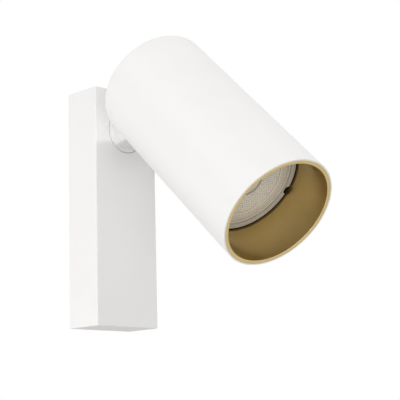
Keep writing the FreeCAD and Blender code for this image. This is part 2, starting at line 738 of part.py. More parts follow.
def swivel_knuckle():
    """The round foot in the box's front and the tongue that stands on it, bored for the lead."""
    body = piece("swivel_knuckle", SWIVEL)
    rise = cell("disc_rise")
    reach = cell("pivot_reach")
    eye = cell("eye_radius")
    root = cell("tongue_root") / 2
    disc = cell("disc_radius")
    sides = ((-root, 0), (root, 0), (eye, reach), (-eye, reach))
    pad(body, "YZ_Plane", sides, cell("tongue_width"), midplane=True)
    rod(body, (-CHEEK, 0, reach), "+x", eye, cell("tongue_width"))
    rounded(body, cell("tongue_edge"), lambda box: box.XLength < TOUCH
            and abs(abs(box.XMax) - CHEEK.value) < TOUCH and box.ZMax > TOUCH)
    rod(body, (0, 0, DISC_BACK), "+z", disc, rise - DISC_BACK)
    rounded(body, cell("disc_edge"), lambda box: level(box, rise)
            and box.XLength > disc.value * 2 - TOUCH)
    fork = cell("fork_slot") / 2
    rod(body, (0, 0, DISC_BACK), "+z", cell("stem_radius"), cell("stem_seat") - DISC_BACK, cut=True)
    rod(body, (0, 0, DISC_BACK), "+z", fork, reach - DISC_BACK, cut=True)
    block(body, (-fork, -root, reach - fork), (fork, root, reach + eye * 2), cut=True)
    rod(body, (-CHEEK * 2, 0, reach), "+x", cell("pivot_thread"), CHEEK * 4, cut=True)
    return body


def swivel_stem():
    body = piece("swivel_stem", SWIVEL)
    ring(body, cell("stem_bore"), cell("stem_radius"), STEM_END, cell("stem_seat"))
    return body


def swivel_washers():
    """Nylon washers on both sides of the swivel plate."""
    members = []
    outer = cell("stem_radius") + cell("washer_rim")
    for name, bottom in (("front", PLATE_FRONT + cell("rub_gap")), ("back", INNER_WASHER)):
        body = piece(f"swivel_washer_{name}", SWIVEL)
        ring(body, cell("stem_radius"), outer, bottom, bottom + cell("washer_sheet"))
        members.append(body)
    return group("swivel_washers", members)


def stop_washer():
    """A keyed washer whose tab meets the stop pin at each end of the turn."""
    body = piece("stop_washer", SWIVEL)
    sheet = cell("stop_sheet")
    half = cell("stop_tab") / 2
    outer = cell("stem_radius") + cell("stop_rim")
    ring(body, cell("stem_radius"), outer, STOP_WASHER, STOP_WASHER + sheet)
    tip = cell("stop_orbit") + cell("stop_pin_radius")
    block(body, (-half, -tip, STOP_WASHER), (half, half - outer, STOP_WASHER + sheet))
    return body


def spring_washer():
    """A conical spring washer under the stem's nut."""
    body = piece("spring_washer", SWIVEL)
    inner = cell("stem_radius")
    outer = inner + cell("stop_rim")
    low = SPRING_WASHER
    rise = cell("spring_rise")
    sheet = cell("spring_sheet")
    turned(body, ((inner, low), (outer, low + rise), (outer, low + rise + sheet), (inner, low + sheet)))
    return body


def stem_nut():
    body = piece("stem_nut", SWIVEL)
    corner = cell("stem_nut_flats") / 2 / HEX_COSINE
    hexagon(body, (0, 0, STEM_NUT), "+z", corner, cell("stem_nut_height"))
    bore_through(body, (0, 0, STEM_NUT), "+z", cell("stem_radius"), cell("stem_nut_height"))
    return body


def pivot_screws():
    """Two shoulder screws, one into each cheek of the tongue, that the head tilts on."""
    members = []
    for name, way in (("right", "+x"), ("left", "-x")):
        body = piece(f"pivot_screw_{name}", SWIVEL)
        centre = (0, 0, cell("pivot_reach"))
        tip = cell("fork_slot") / 2 + cell("hole_play")
        rod(body, along(centre, way, tip), way, cell("pivot_thread"), CHEEK - tip)
        rod(body, along(centre, way, CHEEK), way, cell("pivot_shoulder"), SHOULDER_END - CHEEK)
        head_seat = along(centre, way, SHOULDER_END)
        screw_head(body, head_seat, way, cell("pivot_head"), cell("pivot_head_rise"), cell("pivot_socket"))
        members.append(body)
    return group("pivot_screws", members)


def friction_washers():
    """Fibre washers between the cheeks and the ears, round the screws' shoulders."""
    members = []
    for name, way in (("right", "+x"), ("left", "-x")):
        body = piece(f"friction_washer_{name}", SWIVEL)
        seat = along((0, 0, cell("pivot_reach")), way, CHEEK)
        rod(body, seat, way, cell("eye_radius"), cell("friction_sheet"))
        bore_through(body, seat, way, cell("pivot_shoulder"), cell("friction_sheet"))
        members.append(body)
    return group("friction_washers", members)


def swivel_lead():
    """The lead's middle section, straight through the stem to the tilt axis."""
    end = cell("pivot_reach") - cell("lead_radius") - cell("lead_gap")
    body = piece("swivel_lead", SWIVEL)
    rod(body, (0, 0, STEM_END), "+z", cell("lead_radius"), end - STEM_END)
    return body


# ---- leads in the wall box --------------------------------------------------------------------

LEAD_IN = cell("base_depth") + STEM_END - cell("lead_gap")
LEAD_LOW = cell("bracket_plate") + cell("fit_gap") + cell("lead_radius")
LEAD_BEND = LEAD_IN - LEAD_LOW - cell("lead_straight")
LEAD_FOOT = SWIVEL_HEIGHT - cell("lead_drop")


def base_lead():
    """The lead's first section: from the stem's end down towards the terminal block."""
    height = SWIVEL_HEIGHT
    points = ((0, height, LEAD_IN), (0, height, LEAD_LOW), (0, LEAD_FOOT, LEAD_LOW))
    return lead("base_lead", WALL, points, cell("lead_radius"), LEAD_BEND)


def core_start(angle):
    """Where a core leaves the sheath: beside the lead's middle and out from the wall."""
    angle = as_size(angle)
    return cell("core_offset") * cosine(angle), LEAD_LOW + cell("core_offset") * sine(angle)


def base_cores():
    """Two cores from the sheath to the terminal block."""
    members = []
    top = TERMINAL + cell("block_length") / 2
    height = cell("bracket_plate") + cell("block_body")
    for name, side, angle in (("live", -1, LIVE_ANGLE), ("neutral", 0, NEUTRAL_ANGLE)):
        x = side * cell("pole_pitch")
        start, out = core_start(angle)
        points = (
            (start, LEAD_FOOT, out),
            (start, LEAD_FOOT - cell("core_bend") * CORE_RUN, out),
            (x, top + cell("core_bend") * 2, height),
            (x, top - cell("insert_end_gap") * 2, height),
        )
        members.append(lead(f"base_core_{name}", WALL, points, cell("core_radius"), cell("core_bend")))
    return group("base_cores", members)


def earth_core():
    """The earth core, turned back from the sheath's end to the ring lug."""
    x = EARTH_SIDE
    lug_foot = cell("earth_height") - cell("lug_tail")
    height = cell("bracket_plate") + cell("core_radius") * 2
    dip = lug_foot - cell("core_bend") * CORE_RUN
    start, out = core_start(EARTH_ANGLE)
    points = (
        (start, LEAD_FOOT, out),
        (start, LEAD_FOOT - cell("core_bend") * CORE_RUN, out),
        (x / 2, dip, (out + height) / 2),
        (x, dip, height),
        (x, lug_foot + cell("core_radius"), height),
    )
    return lead("earth_core", WALL, points, cell("core_radius"), cell("core_bend") / 2)


# ---- head -------------------------------------------------------------------------------------

def head_shell():
    """The tube with its closed rear, two posts inside, and the slot for the tongue at one corner."""
    body = piece("head_shell", HEAD)
    cap = cell("tube_cap")
    flange = TUBE_RADIUS - cell("flange_rim") + cell("baffle_gap") / 2
    step = MOUTH - cell("flange_sheet")
    turned(body, ((0, 0), (TUBE_RADIUS, 0), (TUBE_RADIUS, MOUTH), (flange, MOUTH), (flange, step),
                  (TUBE_BORE, step), (TUBE_BORE, cap), (0, cap)))
    rim = TUBE_RADIUS * 2
    rounded(body, cell("tube_rear_edge"), lambda box: level(box, as_size(0)))
    rounded(body, cell("tube_mouth_edge"), lambda box: level(box, MOUTH)
            and box.XLength > rim.value - TOUCH)
    for x in (-cell("post_side"), cell("post_side")):
        foot = (x, cell("post_up"), cap / 2)
        rod(body, foot, "+z", cell("post_radius"), BRIDGE - cap / 2)
        top = (x, cell("post_up"), BRIDGE)
        rod(body, top, "-z", cell("post_screw"), cell("post_screw_length"), cut=True)
    half = CHEEK + cell("slot_play")
    inward = tongue_half_height(cell("pivot_axial")) + cell("slot_play")
    forward = tongue_half_height(cell("pivot_inset")) + cell("slot_play")
    low = (-half, -TUBE_RADIUS * 2, -cap)
    high = (half, inward - PIVOT_DOWN, cell("pivot_axial") + forward)
    block(body, low, high, cut=True)
    return body


def front_baffle():
    """The gold-coloured sleeve and ring in the mouth."""
    body = piece("front_baffle", HEAD)
    inner = cell("lamp_radius") + cell("lamp_gap")
    outer = inner + cell("baffle_wall")
    flange = TUBE_RADIUS - cell("flange_rim")
    step = MOUTH - cell("flange_sheet")
    back = MOUTH - cell("baffle_length")
    turned(body, ((inner, back), (outer, back), (outer, step), (flange, step),
                  (flange, MOUTH), (inner, MOUTH)))
    return body


def pivot_bracket():
    """The bridge plate that carries the lamp holder, with two ears back to the tilt axis."""
    body = piece("pivot_bracket", HEAD)
    sheet = cell("bridge_sheet")
    eye = cell("eye_radius")
    rod(body, (0, 0, BRIDGE), "+z", TUBE_BORE - cell("bridge_gap"), sheet)
    axial = cell("pivot_axial")
    for inner in (EAR_INNER, -EAR_OUTER):
        low = (inner, -PIVOT_DOWN - eye, axial)
        block(body, low, (inner + sheet, eye - PIVOT_DOWN, BRIDGE + sheet / 2))
        rod(body, (inner, -PIVOT_DOWN, axial), "+x", eye, sheet)
    pivot = (-EAR_OUTER * 2, -PIVOT_DOWN, axial)
    rod(body, pivot, "+x", cell("pivot_shoulder") + cell("pin_play"), EAR_OUTER * 4, cut=True)
    under = BRIDGE - sheet
    lead_hole = cell("lead_radius") + cell("fit_gap")
    rod(body, (0, -PIVOT_DOWN, under), "+z", lead_hole, sheet * 3, cut=True)
    for x in (-cell("post_side"), cell("post_side")):
        hole = cell("post_screw") + cell("hole_play")
        rod(body, (x, cell("post_up"), under), "+z", hole, sheet * 3, cut=True)
    for x in (-cell("holder_screw_side"), cell("holder_screw_side")):
        rod(body, (x, 0, under), "+z", cell("holder_screw"), sheet * 3, cut=True)
    return body


def bracket_screws():
    """Two screws through the bridge plate into the posts."""
    members = []
    for name, x in (("left", -cell("post_side")), ("right", cell("post_side"))):
        body = piece(f"bracket_screw_{name}", HEAD)
        screw(body, (x, cell("post_up"), HOLDER), "+z", cell("post_screw"), cell("post_screw_length"),
              cell("post_screw_head"), cell("post_screw_rise"))
        members.append(body)
    return group("bracket_screws", members)


def lamp_holder():
    """The ceramic lamp holder, with two pin wells, two screw wells and two lead holes."""
    body = piece("lamp_holder", HEAD)
    top = HOLDER + cell("holder_height")
    rod(body, (0, 0, HOLDER), "+z", cell("holder_radius"), cell("holder_height"))
    rounded(body, cell("holder_edge"), lambda box: level(box, top) or level(box, HOLDER))
    well = cell("pin_head") + cell("keyhole_play")
    depth = cell("keyhole_depth")
    for way in (-1, 1):
        pin = (0, way * cell("pin_spacing") / 2, top)
        rod(body, pin, "-z", well, depth, cut=True)
        entry = (way * cell("pin_spacing") / 4, way * cell("pin_spacing") / 2, top)
        rod(body, entry, "-z", well, depth, cut=True)
        side = (way * cell("holder_screw_side"), 0, top)
        wide = cell("holder_screw_head") + cell("hole_play")
        rod(body, side, "-z", wide, cell("holder_screw_sink"), cut=True)
        narrow = cell("holder_screw") + cell("hole_play")
        rod(body, side, "-z", narrow, cell("holder_height") * 2, cut=True)
        hole = (way * cell("pin_spacing") / 4, -cell("pin_spacing") / 2, HOLDER + cell("lead_entry"))
        rod(body, hole, "-y", cell("core_radius") + cell("hole_play"), cell("holder_radius"), cut=True)
    return body


def holder_screws():
    """Two screws down the holder's wells into the bridge plate."""
    members = []
    seat_height = HOLDER + cell("holder_height") - cell("holder_screw_sink")
    reach = seat_height - BRIDGE + cell("holder_screw_tail")
    for name, way in (("left", -1), ("right", 1)):
        body = piece(f"holder_screw_{name}", HEAD)
        seat = (way * cell("holder_screw_side"), 0, seat_height)
        screw(body, seat, "+z", cell("holder_screw"), reach,
              cell("holder_screw_head"), cell("holder_screw_rise"))
        members.append(body)
    return group("holder_screws", members)


def holder_contacts():
    """Brass contacts on the floors of the pin wells, under the lamp's pins."""
    members = []
    floor = HOLDER + cell("holder_height") - cell("keyhole_depth")
    for name, way in (("lower", -1), ("upper", 1)):
        body = piece(f"holder_contact_{name}", HEAD)
        centre = (0, way * cell("pin_spacing") / 2, floor)
        rod(body, centre, "+z", cell("pin_head"), cell("contact_sheet"))
        members.append(body)
    return group("holder_contacts", members)


LENS_RADIUS = cell("lamp_radius") - cell("bezel_width")
LAMP_BACK = LAMP_FACE - cell("bezel_sheet")
LENS_FACE = LAMP_FACE - cell("lens_sink")
LENS_BACK = LENS_FACE - cell("lens_sheet")
LED_BOARD = LENS_BACK - cell("led_board_gap")
LAMP_CONE = LAMP_FOOT + cell("lamp_neck")
LAMP_RIM = LAMP_BACK - cell("lamp_rim")
CONE_TOP = LAMP_RIM + cell("lamp_wall") / 2


def lamp_bezel():
    """The lamp's front ring with its notch."""
    body = piece("lamp_bezel", HEAD)
    ring(body, LENS_RADIUS, cell("lamp_radius"), LAMP_BACK, LAMP_FACE)
    half = cell("notch_width") / 2
    low = (cell("lamp_radius") - cell("notch_depth"), -half, LAMP_BACK - OVERSHOOT)
    block(body, low, (cell("lamp_radius") * 2, half, LAMP_FACE + OVERSHOOT), cut=True)
    return body


def lamp_lens():
    """The clear front of the lamp, with a round hollow in the middle."""
    body = piece("lamp_lens", HEAD)
    dimple = cell("lens_dimple")
    floor = LENS_FACE - cell("lens_dimple_depth")
    radius = LENS_RADIUS
    turned(body, ((0, LENS_BACK), (radius, LENS_BACK), (radius, LENS_FACE),
                  (dimple, LENS_FACE), (dimple, floor), (0, floor)))
    return body


def lamp_housing():
    """The lamp's cup, from its rim down a cone to its neck."""
    body = piece("lamp_housing", HEAD)
    outer = cell("lamp_radius")
    neck = cell("lamp_neck_radius")
    wall = cell("lamp_wall")
    ledge = LENS_BACK
    lip = LENS_RADIUS - wall
    turned(body, (
        (outer, LAMP_BACK), (outer, LAMP_RIM), (neck, LAMP_CONE), (neck, LAMP_FOOT + wall),
        (neck - wall, LAMP_FOOT + wall), (neck - wall, LAMP_CONE), (outer - wall, CONE_TOP),
        (outer - wall, ledge - wall), (lip, ledge - wall),
        (lip, ledge), (LENS_RADIUS, ledge), (LENS_RADIUS, LAMP_BACK),
    ))
    return body


def lamp_foot():
    """The insulating foot that closes the lamp's neck and holds the pins."""
    body = piece("lamp_foot", HEAD)
    wall = cell("lamp_wall")
    rod(body, (0, 0, LAMP_FOOT), "+z", cell("lamp_neck_radius"), wall)
    rod(body, (0, 0, LAMP_FOOT + wall), "+z", cell("lamp_foot_radius"), wall * 2)
    for way in (-1, 1):
        hole = (0, way * cell("pin_spacing") / 2, LAMP_FOOT - wall)
        rod(body, hole, "+z", cell("pin_neck"), wall * 3, cut=True)
    return body


def lamp_pins():
    """Two pins with heads, locked in the holder."""
    members = []
    for name, way in (("lower", -1), ("upper", 1)):
        body = piece(f"lamp_pin_{name}", HEAD)
        top = (0, way * cell("pin_spacing") / 2, LAMP_FOOT + cell("lamp_wall"))
        neck = cell("pin_neck_length") + cell("lamp_wall")
        rod(body, top, "-z", cell("pin_neck"), neck)
        rod(body, along(top, "-z", neck), "-z", cell("pin_head"), cell("pin_head_length"))
        members.append(body)
    return group("lamp_pins", members)


def led_board():
    """The round board behind the lens, resting on the cup's cone, with its light chips."""
    body = piece("led_board", HEAD)
    bottom = LED_BOARD - cell("board_sheet")
    slope = (cell("lamp_radius") - cell("lamp_neck_radius")) / (CONE_TOP - LAMP_CONE)
    radius = cell("lamp_neck_radius") - cell("lamp_wall") + slope * (bottom - LAMP_CONE) - cell("hole_play")
    rod(body, (0, 0, bottom), "+z", radius, cell("board_sheet"))
    half = cell("chip_side") / 2
    for x, y in ((1, 0), (-1, 0), (0, 1), (0, -1), (0, 0)):
        centre_x = x * cell("chip_orbit")
        centre_y = y * cell("chip_orbit")
        low = (centre_x - half, centre_y - half, LED_BOARD)
        block(body, low, (centre_x + half, centre_y + half, LED_BOARD + cell("chip_height")))
    return body


def driver_board():
    """The lamp's driver board, standing on the foot, with a capacitor."""
    body = piece("driver_board", HEAD)
    half = cell("driver_width") / 2
    foot = LAMP_FOOT + cell("lamp_wall") * 3
    sheet = cell("board_sheet")
    block(body, (-half, 0, foot), (half, sheet, foot + cell("driver_length")))
    capacitor = (0, sheet / 2 + cell("capacitor_radius"), foot + cell("driver_length") / 4)
    rod(body, capacitor, "+z", cell("capacitor_radius"), cell("capacitor_length"))
    return body


SHEATH_END = HOLDER + cell("lead_entry") / 3


def head_lead():
    """The lead's last section: from the tilt axis through the bridge plate."""
    axial = cell("pivot_axial")
    points = ((0, -PIVOT_DOWN, axial), (0, -PIVOT_DOWN, SHEATH_END))
    return lead("head_lead", HEAD, points, cell("lead_radius"), cell("lead_radius"), ball=True)


def holder_cores():
    """Two cores from the sheath into the holder's side holes."""
    members = []
    entry = HOLDER + cell("lead_entry")
    for name, way in (("live", -1), ("neutral", 1)):
        start = way * cell("core_offset")
        end = way * cell("pin_spacing") / 4
        middle = -PIVOT_DOWN
        points = (
            (start, middle, SHEATH_END),
            (start, middle, entry),
            (end, -cell("holder_radius"), entry),
            (end, cell("holder_edge") * 3 - cell("holder_radius"), entry),
        )
        bend = cell("core_bend") / 2
        members.append(lead(f"holder_core_{name}", HEAD, points, cell("core_radius"), bend))
    return group("holder_cores", members)


# ---- making, testing and writing --------------------------------------------------------------

SUB_PARTS = (
    wall_housing, wall_bracket, cover_screw, cable_grommet, terminal_block, terminal_inserts,
    terminal_screws, terminal_fixing_screw, earth_screw, earth_lug, swivel_plate, plate_nuts,
    base_lead, base_cores, earth_core, swivel_knuckle, swivel_stem, swivel_washers, stop_washer,
    spring_washer, stem_nut, pivot_screws, friction_washers, swivel_lead, head_shell, front_baffle,
    pivot_bracket, bracket_screws, lamp_holder, holder_screws, holder_contacts, lamp_bezel,
    lamp_lens, lamp_housing, lamp_foot, lamp_pins, led_board, driver_board, head_lead, holder_cores,
)


def test_document():
    """Stop if any object failed."""
    for item in DOCUMENT.Objects:
        if "Invalid" in item.State or "Error" in item.State:
            raise RuntimeError(f"{item.Name} failed: {item.State}")


def write(sub_part):
    """Write one sub-part's solids to the file that its label names."""
    shape = sub_part.Shape
    if shape.isNull() or not shape.isValid():
        raise RuntimeError(f"{sub_part.Label} has no valid shape")
    shape.exportStep(f"parts/{sub_part.Label}.step")
    print(f"{sub_part.Label}: {len(shape.Solids)} solid(s), {shape.Volume:.1f} mm3")


made = [make() for make in SUB_PARTS]
DOCUMENT.recompute()
test_document()
os.makedirs("parts", exist_ok=True)
for sub_part in made:
    write(sub_part)
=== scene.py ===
import json
import math

import bmesh
import bpy
from mathutils import Matrix, Vector

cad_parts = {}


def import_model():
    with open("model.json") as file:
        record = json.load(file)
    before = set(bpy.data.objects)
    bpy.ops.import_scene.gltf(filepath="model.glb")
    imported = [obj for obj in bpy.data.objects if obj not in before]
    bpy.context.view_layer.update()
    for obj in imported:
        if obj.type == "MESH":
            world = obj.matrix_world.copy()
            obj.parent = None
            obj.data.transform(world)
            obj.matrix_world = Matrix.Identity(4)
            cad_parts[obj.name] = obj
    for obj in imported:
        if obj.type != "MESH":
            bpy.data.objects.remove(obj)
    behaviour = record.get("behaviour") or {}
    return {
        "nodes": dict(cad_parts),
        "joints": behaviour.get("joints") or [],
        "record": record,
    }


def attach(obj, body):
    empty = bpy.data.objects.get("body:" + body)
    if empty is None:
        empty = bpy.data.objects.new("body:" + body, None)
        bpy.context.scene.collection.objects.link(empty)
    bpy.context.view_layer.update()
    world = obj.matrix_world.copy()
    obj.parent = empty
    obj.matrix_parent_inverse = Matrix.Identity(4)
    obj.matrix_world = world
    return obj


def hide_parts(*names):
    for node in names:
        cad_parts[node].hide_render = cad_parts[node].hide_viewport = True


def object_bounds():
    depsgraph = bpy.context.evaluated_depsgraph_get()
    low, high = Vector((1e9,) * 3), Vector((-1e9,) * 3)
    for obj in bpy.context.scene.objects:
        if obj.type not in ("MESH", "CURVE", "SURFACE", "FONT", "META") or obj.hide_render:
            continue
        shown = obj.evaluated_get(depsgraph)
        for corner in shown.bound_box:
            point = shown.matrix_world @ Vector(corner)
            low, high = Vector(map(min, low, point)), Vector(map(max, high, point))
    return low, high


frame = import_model()
CAD_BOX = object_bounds()

# Pivoting spotlight wall light. Metres, +Z up, the wall is the plane Y = 0 and the light stands
# out of it towards -Y.

MM = 0.001
JOINTS = {joint["name"]: joint for joint in frame["joints"]}
NODES = frame["nodes"]


# ---- the head's own axes: local Z runs from the rear to the mouth, local Y to the upper side ---

TILT = math.radians(-JOINTS["head_tilt"]["range_deg"][0])
PIVOT = Vector(JOINTS["head_tilt"]["pos_m"])
# the pivot is this far from the rear towards the mouth, and this far below the head's axis
PIVOT_AXIAL = 7.4 * MM
PIVOT_DOWN = 19.5 * MM

AXIS = Vector((0, -math.cos(TILT), -math.sin(TILT)))
UPPER = Vector((0, -math.sin(TILT), math.cos(TILT)))
REAR = PIVOT + UPPER * PIVOT_DOWN - AXIS * PIVOT_AXIAL
HEAD = Matrix((
    (1, UPPER.x, AXIS.x, REAR.x),
    (0, UPPER.y, AXIS.y, REAR.y),
    (0, UPPER.z, AXIS.z, REAR.z),
    (0, 0, 0, 1),
))
MOUTH = 107.8 * MM
LAMP_FACE = 84.6 * MM


# ---- mesh helpers -----------------------------------------------------------------------------

# a rounded corner takes at most a side's length divided by this, so two of them never meet
ROUND_LIMIT = 2.2


def finish_mesh(name, mesh, matrix=Matrix.Identity(4), sharp_angle=35):
    """Make an object of a bmesh, in the frame's axes, smooth but for edges past an angle in degrees."""
    bmesh.ops.recalc_face_normals(mesh, faces=mesh.faces)
    data = bpy.data.meshes.new(name)
    mesh.to_mesh(data)
    mesh.free()
    data.transform(matrix)
    return smooth_object(name, data, sharp_angle)


def smooth_object(name, data, sharp_angle):
    """Put a mesh into the scene, with smooth faces between its sharp edges."""
    data.shade_smooth()
    data.set_sharp_from_angle(angle=math.radians(sharp_angle))
    item = bpy.data.objects.new(name, data)
    bpy.context.scene.collection.objects.link(item)
    return item


def softened(corners, radius, steps=4):
    """A closed outline of (radius, height) corners with each corner rounded."""
    points = []
    count = len(corners)
    for i, corner in enumerate(corners):
        here = Vector(corner)
        before = Vector(corners[i - 1]) - here
        after = Vector(corners[(i + 1) % count]) - here
        reach = min(radius, before.length / ROUND_LIMIT, after.length / ROUND_LIMIT)
        start = here + before.normalized() * reach
        end = here + after.normalized() * reach
        for step in range(steps + 1):
            t = step / steps
            points.append(tuple(start * (1 - t) ** 2 + here * (2 * t * (1 - t)) + end * t ** 2))
    return points


def lathe(name, outline, segments, matrix, closed=True, shape=None):
    """Turn an outline of (radius, height) points about local Z; shape moves a point by its angle."""
    mesh = bmesh.new()
    rings = []
    for radius, height in outline:
        if radius == 0:
            rings.append([mesh.verts.new((0, 0, height))])
            continue
        points = []
        for i in range(segments):
            angle = math.tau * i / segments
            r, z = shape(radius, height, angle) if shape else (radius, height)
            points.append(mesh.verts.new((r * math.cos(angle), r * math.sin(angle), z)))
        rings.append(points)
    pairs = list(zip(rings, rings[1:]))
    if closed:
        pairs.append((rings[-1], rings[0]))
    for low, high in pairs:
        for i in range(segments):
            j = (i + 1) % segments
            corners = [low[i % len(low)], low[j % len(low)], high[j % len(high)], high[i % len(high)]]
            unique = list(dict.fromkeys(corners))
            if len(unique) > 2:
                mesh.faces.new(unique)
    return finish_mesh(name, mesh, matrix)


# the order of a lead's spline, its steps, its roundness, and the angle of its sharp edges in degrees
LEAD_ORDER = 3
LEAD_STEPS = 12
LEAD_ROUNDNESS = 6
LEAD_SHARP = 50


def tube(name, routes, radius, matrix=Matrix.Identity(4)):
    """Smooth leads, one along each route of millimetre points, as one mesh with a slot for each."""
    curve = bpy.data.curves.new(name, "CURVE")
    curve.dimensions = "3D"
    for index, route in enumerate(routes):
        curve.materials.append(None)
        spline = curve.splines.new("NURBS")
        spline.material_index = index
        spline.points.add(len(route) - 1)
        for item, point in zip(spline.points, route):
            item.co = (*(matrix @ (Vector(point) * MM)), 1)
        spline.order_u = min(LEAD_ORDER, len(route))
        spline.use_endpoint_u = True
    curve.resolution_u = LEAD_STEPS
    curve.bevel_depth = radius
    curve.bevel_resolution = LEAD_ROUNDNESS
    curve.use_fill_caps = True
    holder = bpy.data.objects.new(name + "_path", curve)
    data = bpy.data.meshes.new_from_object(holder)
    bpy.data.objects.remove(holder)
    data.name = name
    return smooth_object(name, data, LEAD_SHARP)


# ---- material helpers -------------------------------------------------------------------------

# the values of a noise between which a look runs from its low to its high value
NOISE_SPAN = (0.3, 0.7)


class Look:
    """A node material on one Principled shader, with object coordinates in metres."""

    def __init__(self, name):
        self.material = bpy.data.materials.new(name)
        self.material.use_nodes = True
        self.nodes = self.material.node_tree.nodes
        self.links = self.material.node_tree.links
        self.shader = self.nodes["Principled BSDF"]
        self.place = self.nodes.new("ShaderNodeTexCoord").outputs["Object"]

    def set(self, **values):
        for name, value in values.items():
            self.shader.inputs[name.replace("_", " ")].default_value = value

    def noise(self, size, detail=3, stretch=None):
        """Noise whose features are about that size in metres."""
        node = self.nodes.new("ShaderNodeTexNoise")
        node.inputs["Scale"].default_value = 1 / size
        node.inputs["Detail"].default_value = detail
        self.links.new(self.stretched(stretch), node.inputs["Vector"])
        return node.outputs["Fac"]

    def stretched(self, stretch):
        """The object's coordinates, as they are or scaled along each axis."""
        if stretch is None:
            return self.place
        node = self.nodes.new("ShaderNodeMapping")
        node.inputs["Scale"].default_value = stretch
        self.links.new(self.place, node.inputs["Vector"])
        return node.outputs["Vector"]

    def drive(self, name, source, values, span):
        """Run an input of the shader from the first value to the second as a source crosses a span."""
        node = self.nodes.new("ShaderNodeValToRGB")
        for element, at, value in zip(node.color_ramp.elements, span, values):
            element.position = at
            element.color = (value, value, value, 1) if isinstance(value, float) else (*value, 1)
        self.links.new(source, node.inputs["Fac"])
        self.links.new(node.outputs["Color"], self.shader.inputs[name])

    def colour(self, source, low, high, span=NOISE_SPAN):
        """Vary the colour between two values."""
        self.drive("Base Color", source, (low, high), span)

    def roughness(self, source, low, high):
        """Vary the roughness between two values."""
        self.drive("Roughness", source, (low, high), NOISE_SPAN)

    def bump(self, source, distance, strength=1.0):
        """Add relief of a depth in metres on top of any before it."""
        node = self.nodes.new("ShaderNodeBump")
        node.inputs["Distance"].default_value = distance
        node.inputs["Strength"].default_value = strength
        self.links.new(source, node.inputs["Height"])
        normal = self.shader.inputs["Normal"]
        if normal.links:
            self.links.new(normal.links[0].from_socket, node.inputs["Normal"])
        self.links.new(node.outputs["Normal"], normal)


def tinted(colour, factor):
    """A colour with each channel times a factor."""
    return tuple(channel * factor for channel in colour)


# ---- colours ----------------------------------------------------------------------------------

WHITE = (0.885, 0.875, 0.865)
GOLD = (0.65, 0.50, 0.225)
GOLD_DEEP = (0.61, 0.465, 0.205)
# a darker copy of the gold: painted shade on the sleeve near the lamp
GOLD_PAINTED_SHADE = (0.34, 0.25, 0.11)
# a brighter copy of the gold: painted light on the ring at the mouth
GOLD_PAINTED_LIGHT = (0.99, 0.785, 0.385)
LAMP_GREY = (0.555, 0.53, 0.495)
LENS = (0.78, 0.735, 0.685)
# a darker copy of the lens: painted shade in its grooves, between its ribs and under its beads
LENS_PAINTED_SHADE = (0.52, 0.49, 0.45)
# a lighter copy of the lens: painted highlight on its beads
LENS_BEAD_PAINTED_LIGHT = (0.88, 0.85, 0.80)
LAMP_WHITE = (0.78, 0.78, 0.76)
# near black: painted shade in the gap behind the lamp's face and on the bezel's notch
GAP_PAINTED_SHADE = (0.036, 0.024, 0.011)
ZINC = (0.66, 0.67, 0.68)
SPRING_GREY = (0.34, 0.34, 0.36)
BRASS = (0.74, 0.56, 0.26)
TIN = (0.78, 0.78, 0.78)
RUBBER_BLACK = (0.03, 0.03, 0.031)
TERMINAL_CREAM = (0.80, 0.79, 0.74)
NYLON_CREAM = (0.82, 0.81, 0.76)
FIBRE_RED = (0.36, 0.11, 0.06)
CERAMIC_CREAM = (0.80, 0.77, 0.70)
BOARD_WHITE = (0.82, 0.82, 0.80)
BOARD_GREEN = (0.03, 0.17, 0.06)
SHEATH_WHITE = (0.80, 0.80, 0.78)
CORE_BROWN = (0.16, 0.07, 0.03)
CORE_BLUE = (0.03, 0.10, 0.33)
EARTH_GREEN = (0.12, 0.36, 0.06)
EARTH_YELLOW = (0.72, 0.62, 0.08)


# ---- materials --------------------------------------------------------------------------------

def powder_coat(name, colour):
    """Satin powder coat: faint orange peel and a fine grain."""
    look = Look(name)
    look.colour(look.noise(18 * MM, detail=2), tinted(colour, 0.985), colour)
    look.roughness(look.noise(2.5 * MM), 0.40, 0.47)
    look.bump(look.noise(1.1 * MM, detail=2), distance=0.012 * MM, strength=0.6)
    look.bump(look.noise(0.32 * MM, detail=2), distance=0.010 * MM, strength=0.8)
    look.set(Specular_IOR_Level=0.45)
    return look.material


def gold_anodised(name, light, deep, rough):
    """Bead-blasted, gold anodised aluminium."""
    look = Look(name)
    look.colour(look.noise(9 * MM, detail=2), deep, light)
    look.roughness(look.noise(1.5 * MM), rough, rough + 0.06)
    look.bump(look.noise(0.22 * MM), distance=0.012 * MM, strength=0.7)
    look.set(Metallic=1.0)
    return look.material


def bright_metal(name, colour, rough):
    """Plated or bright metal with rolling marks and faint bluish and warm patches."""
    look = Look(name)
    cool = (colour[0] * 0.9, colour[1] * 0.95, colour[2])
    look.colour(look.noise(4 * MM), cool, colour)
    look.roughness(look.noise(1.2 * MM, stretch=(6, 1, 1)), rough, rough + 0.14)
    look.bump(look.noise(0.5 * MM, stretch=(8, 1, 1)), distance=0.006 * MM, strength=0.6)
    look.set(Metallic=1.0)
    return look.material


def moulded(name, colour, rough=0.5, grain=0.35, depth=0.010, gloss=0.5):
    """Moulded plastic, rubber or ceramic; the grain and its depth are in millimetres."""
    look = Look(name)
    look.colour(look.noise(6 * MM), tinted(colour, 0.93), colour)
    look.roughness(look.noise(1.5 * MM), rough, rough + 0.1)
    look.bump(look.noise(grain * MM, detail=2), distance=depth * MM, strength=0.8)
    look.set(Specular_IOR_Level=gloss)
    return look.material


def clear_optic(name, colour):
    """The unlit moulded lens: milky, with a soft gloss."""
    look = Look(name)
    look.colour(look.noise(3 * MM), tinted(colour, 0.95), colour)
    look.roughness(look.noise(0.8 * MM), 0.30, 0.42)
    look.bump(look.noise(0.45 * MM, detail=2), distance=0.010 * MM, strength=0.5)
    look.set(Specular_IOR_Level=0.5)
    return look.material


STRIPE = 2.4 * MM
STRIPE_WANDER = 0.3
STRIPE_EDGE = (0.45, 0.55)


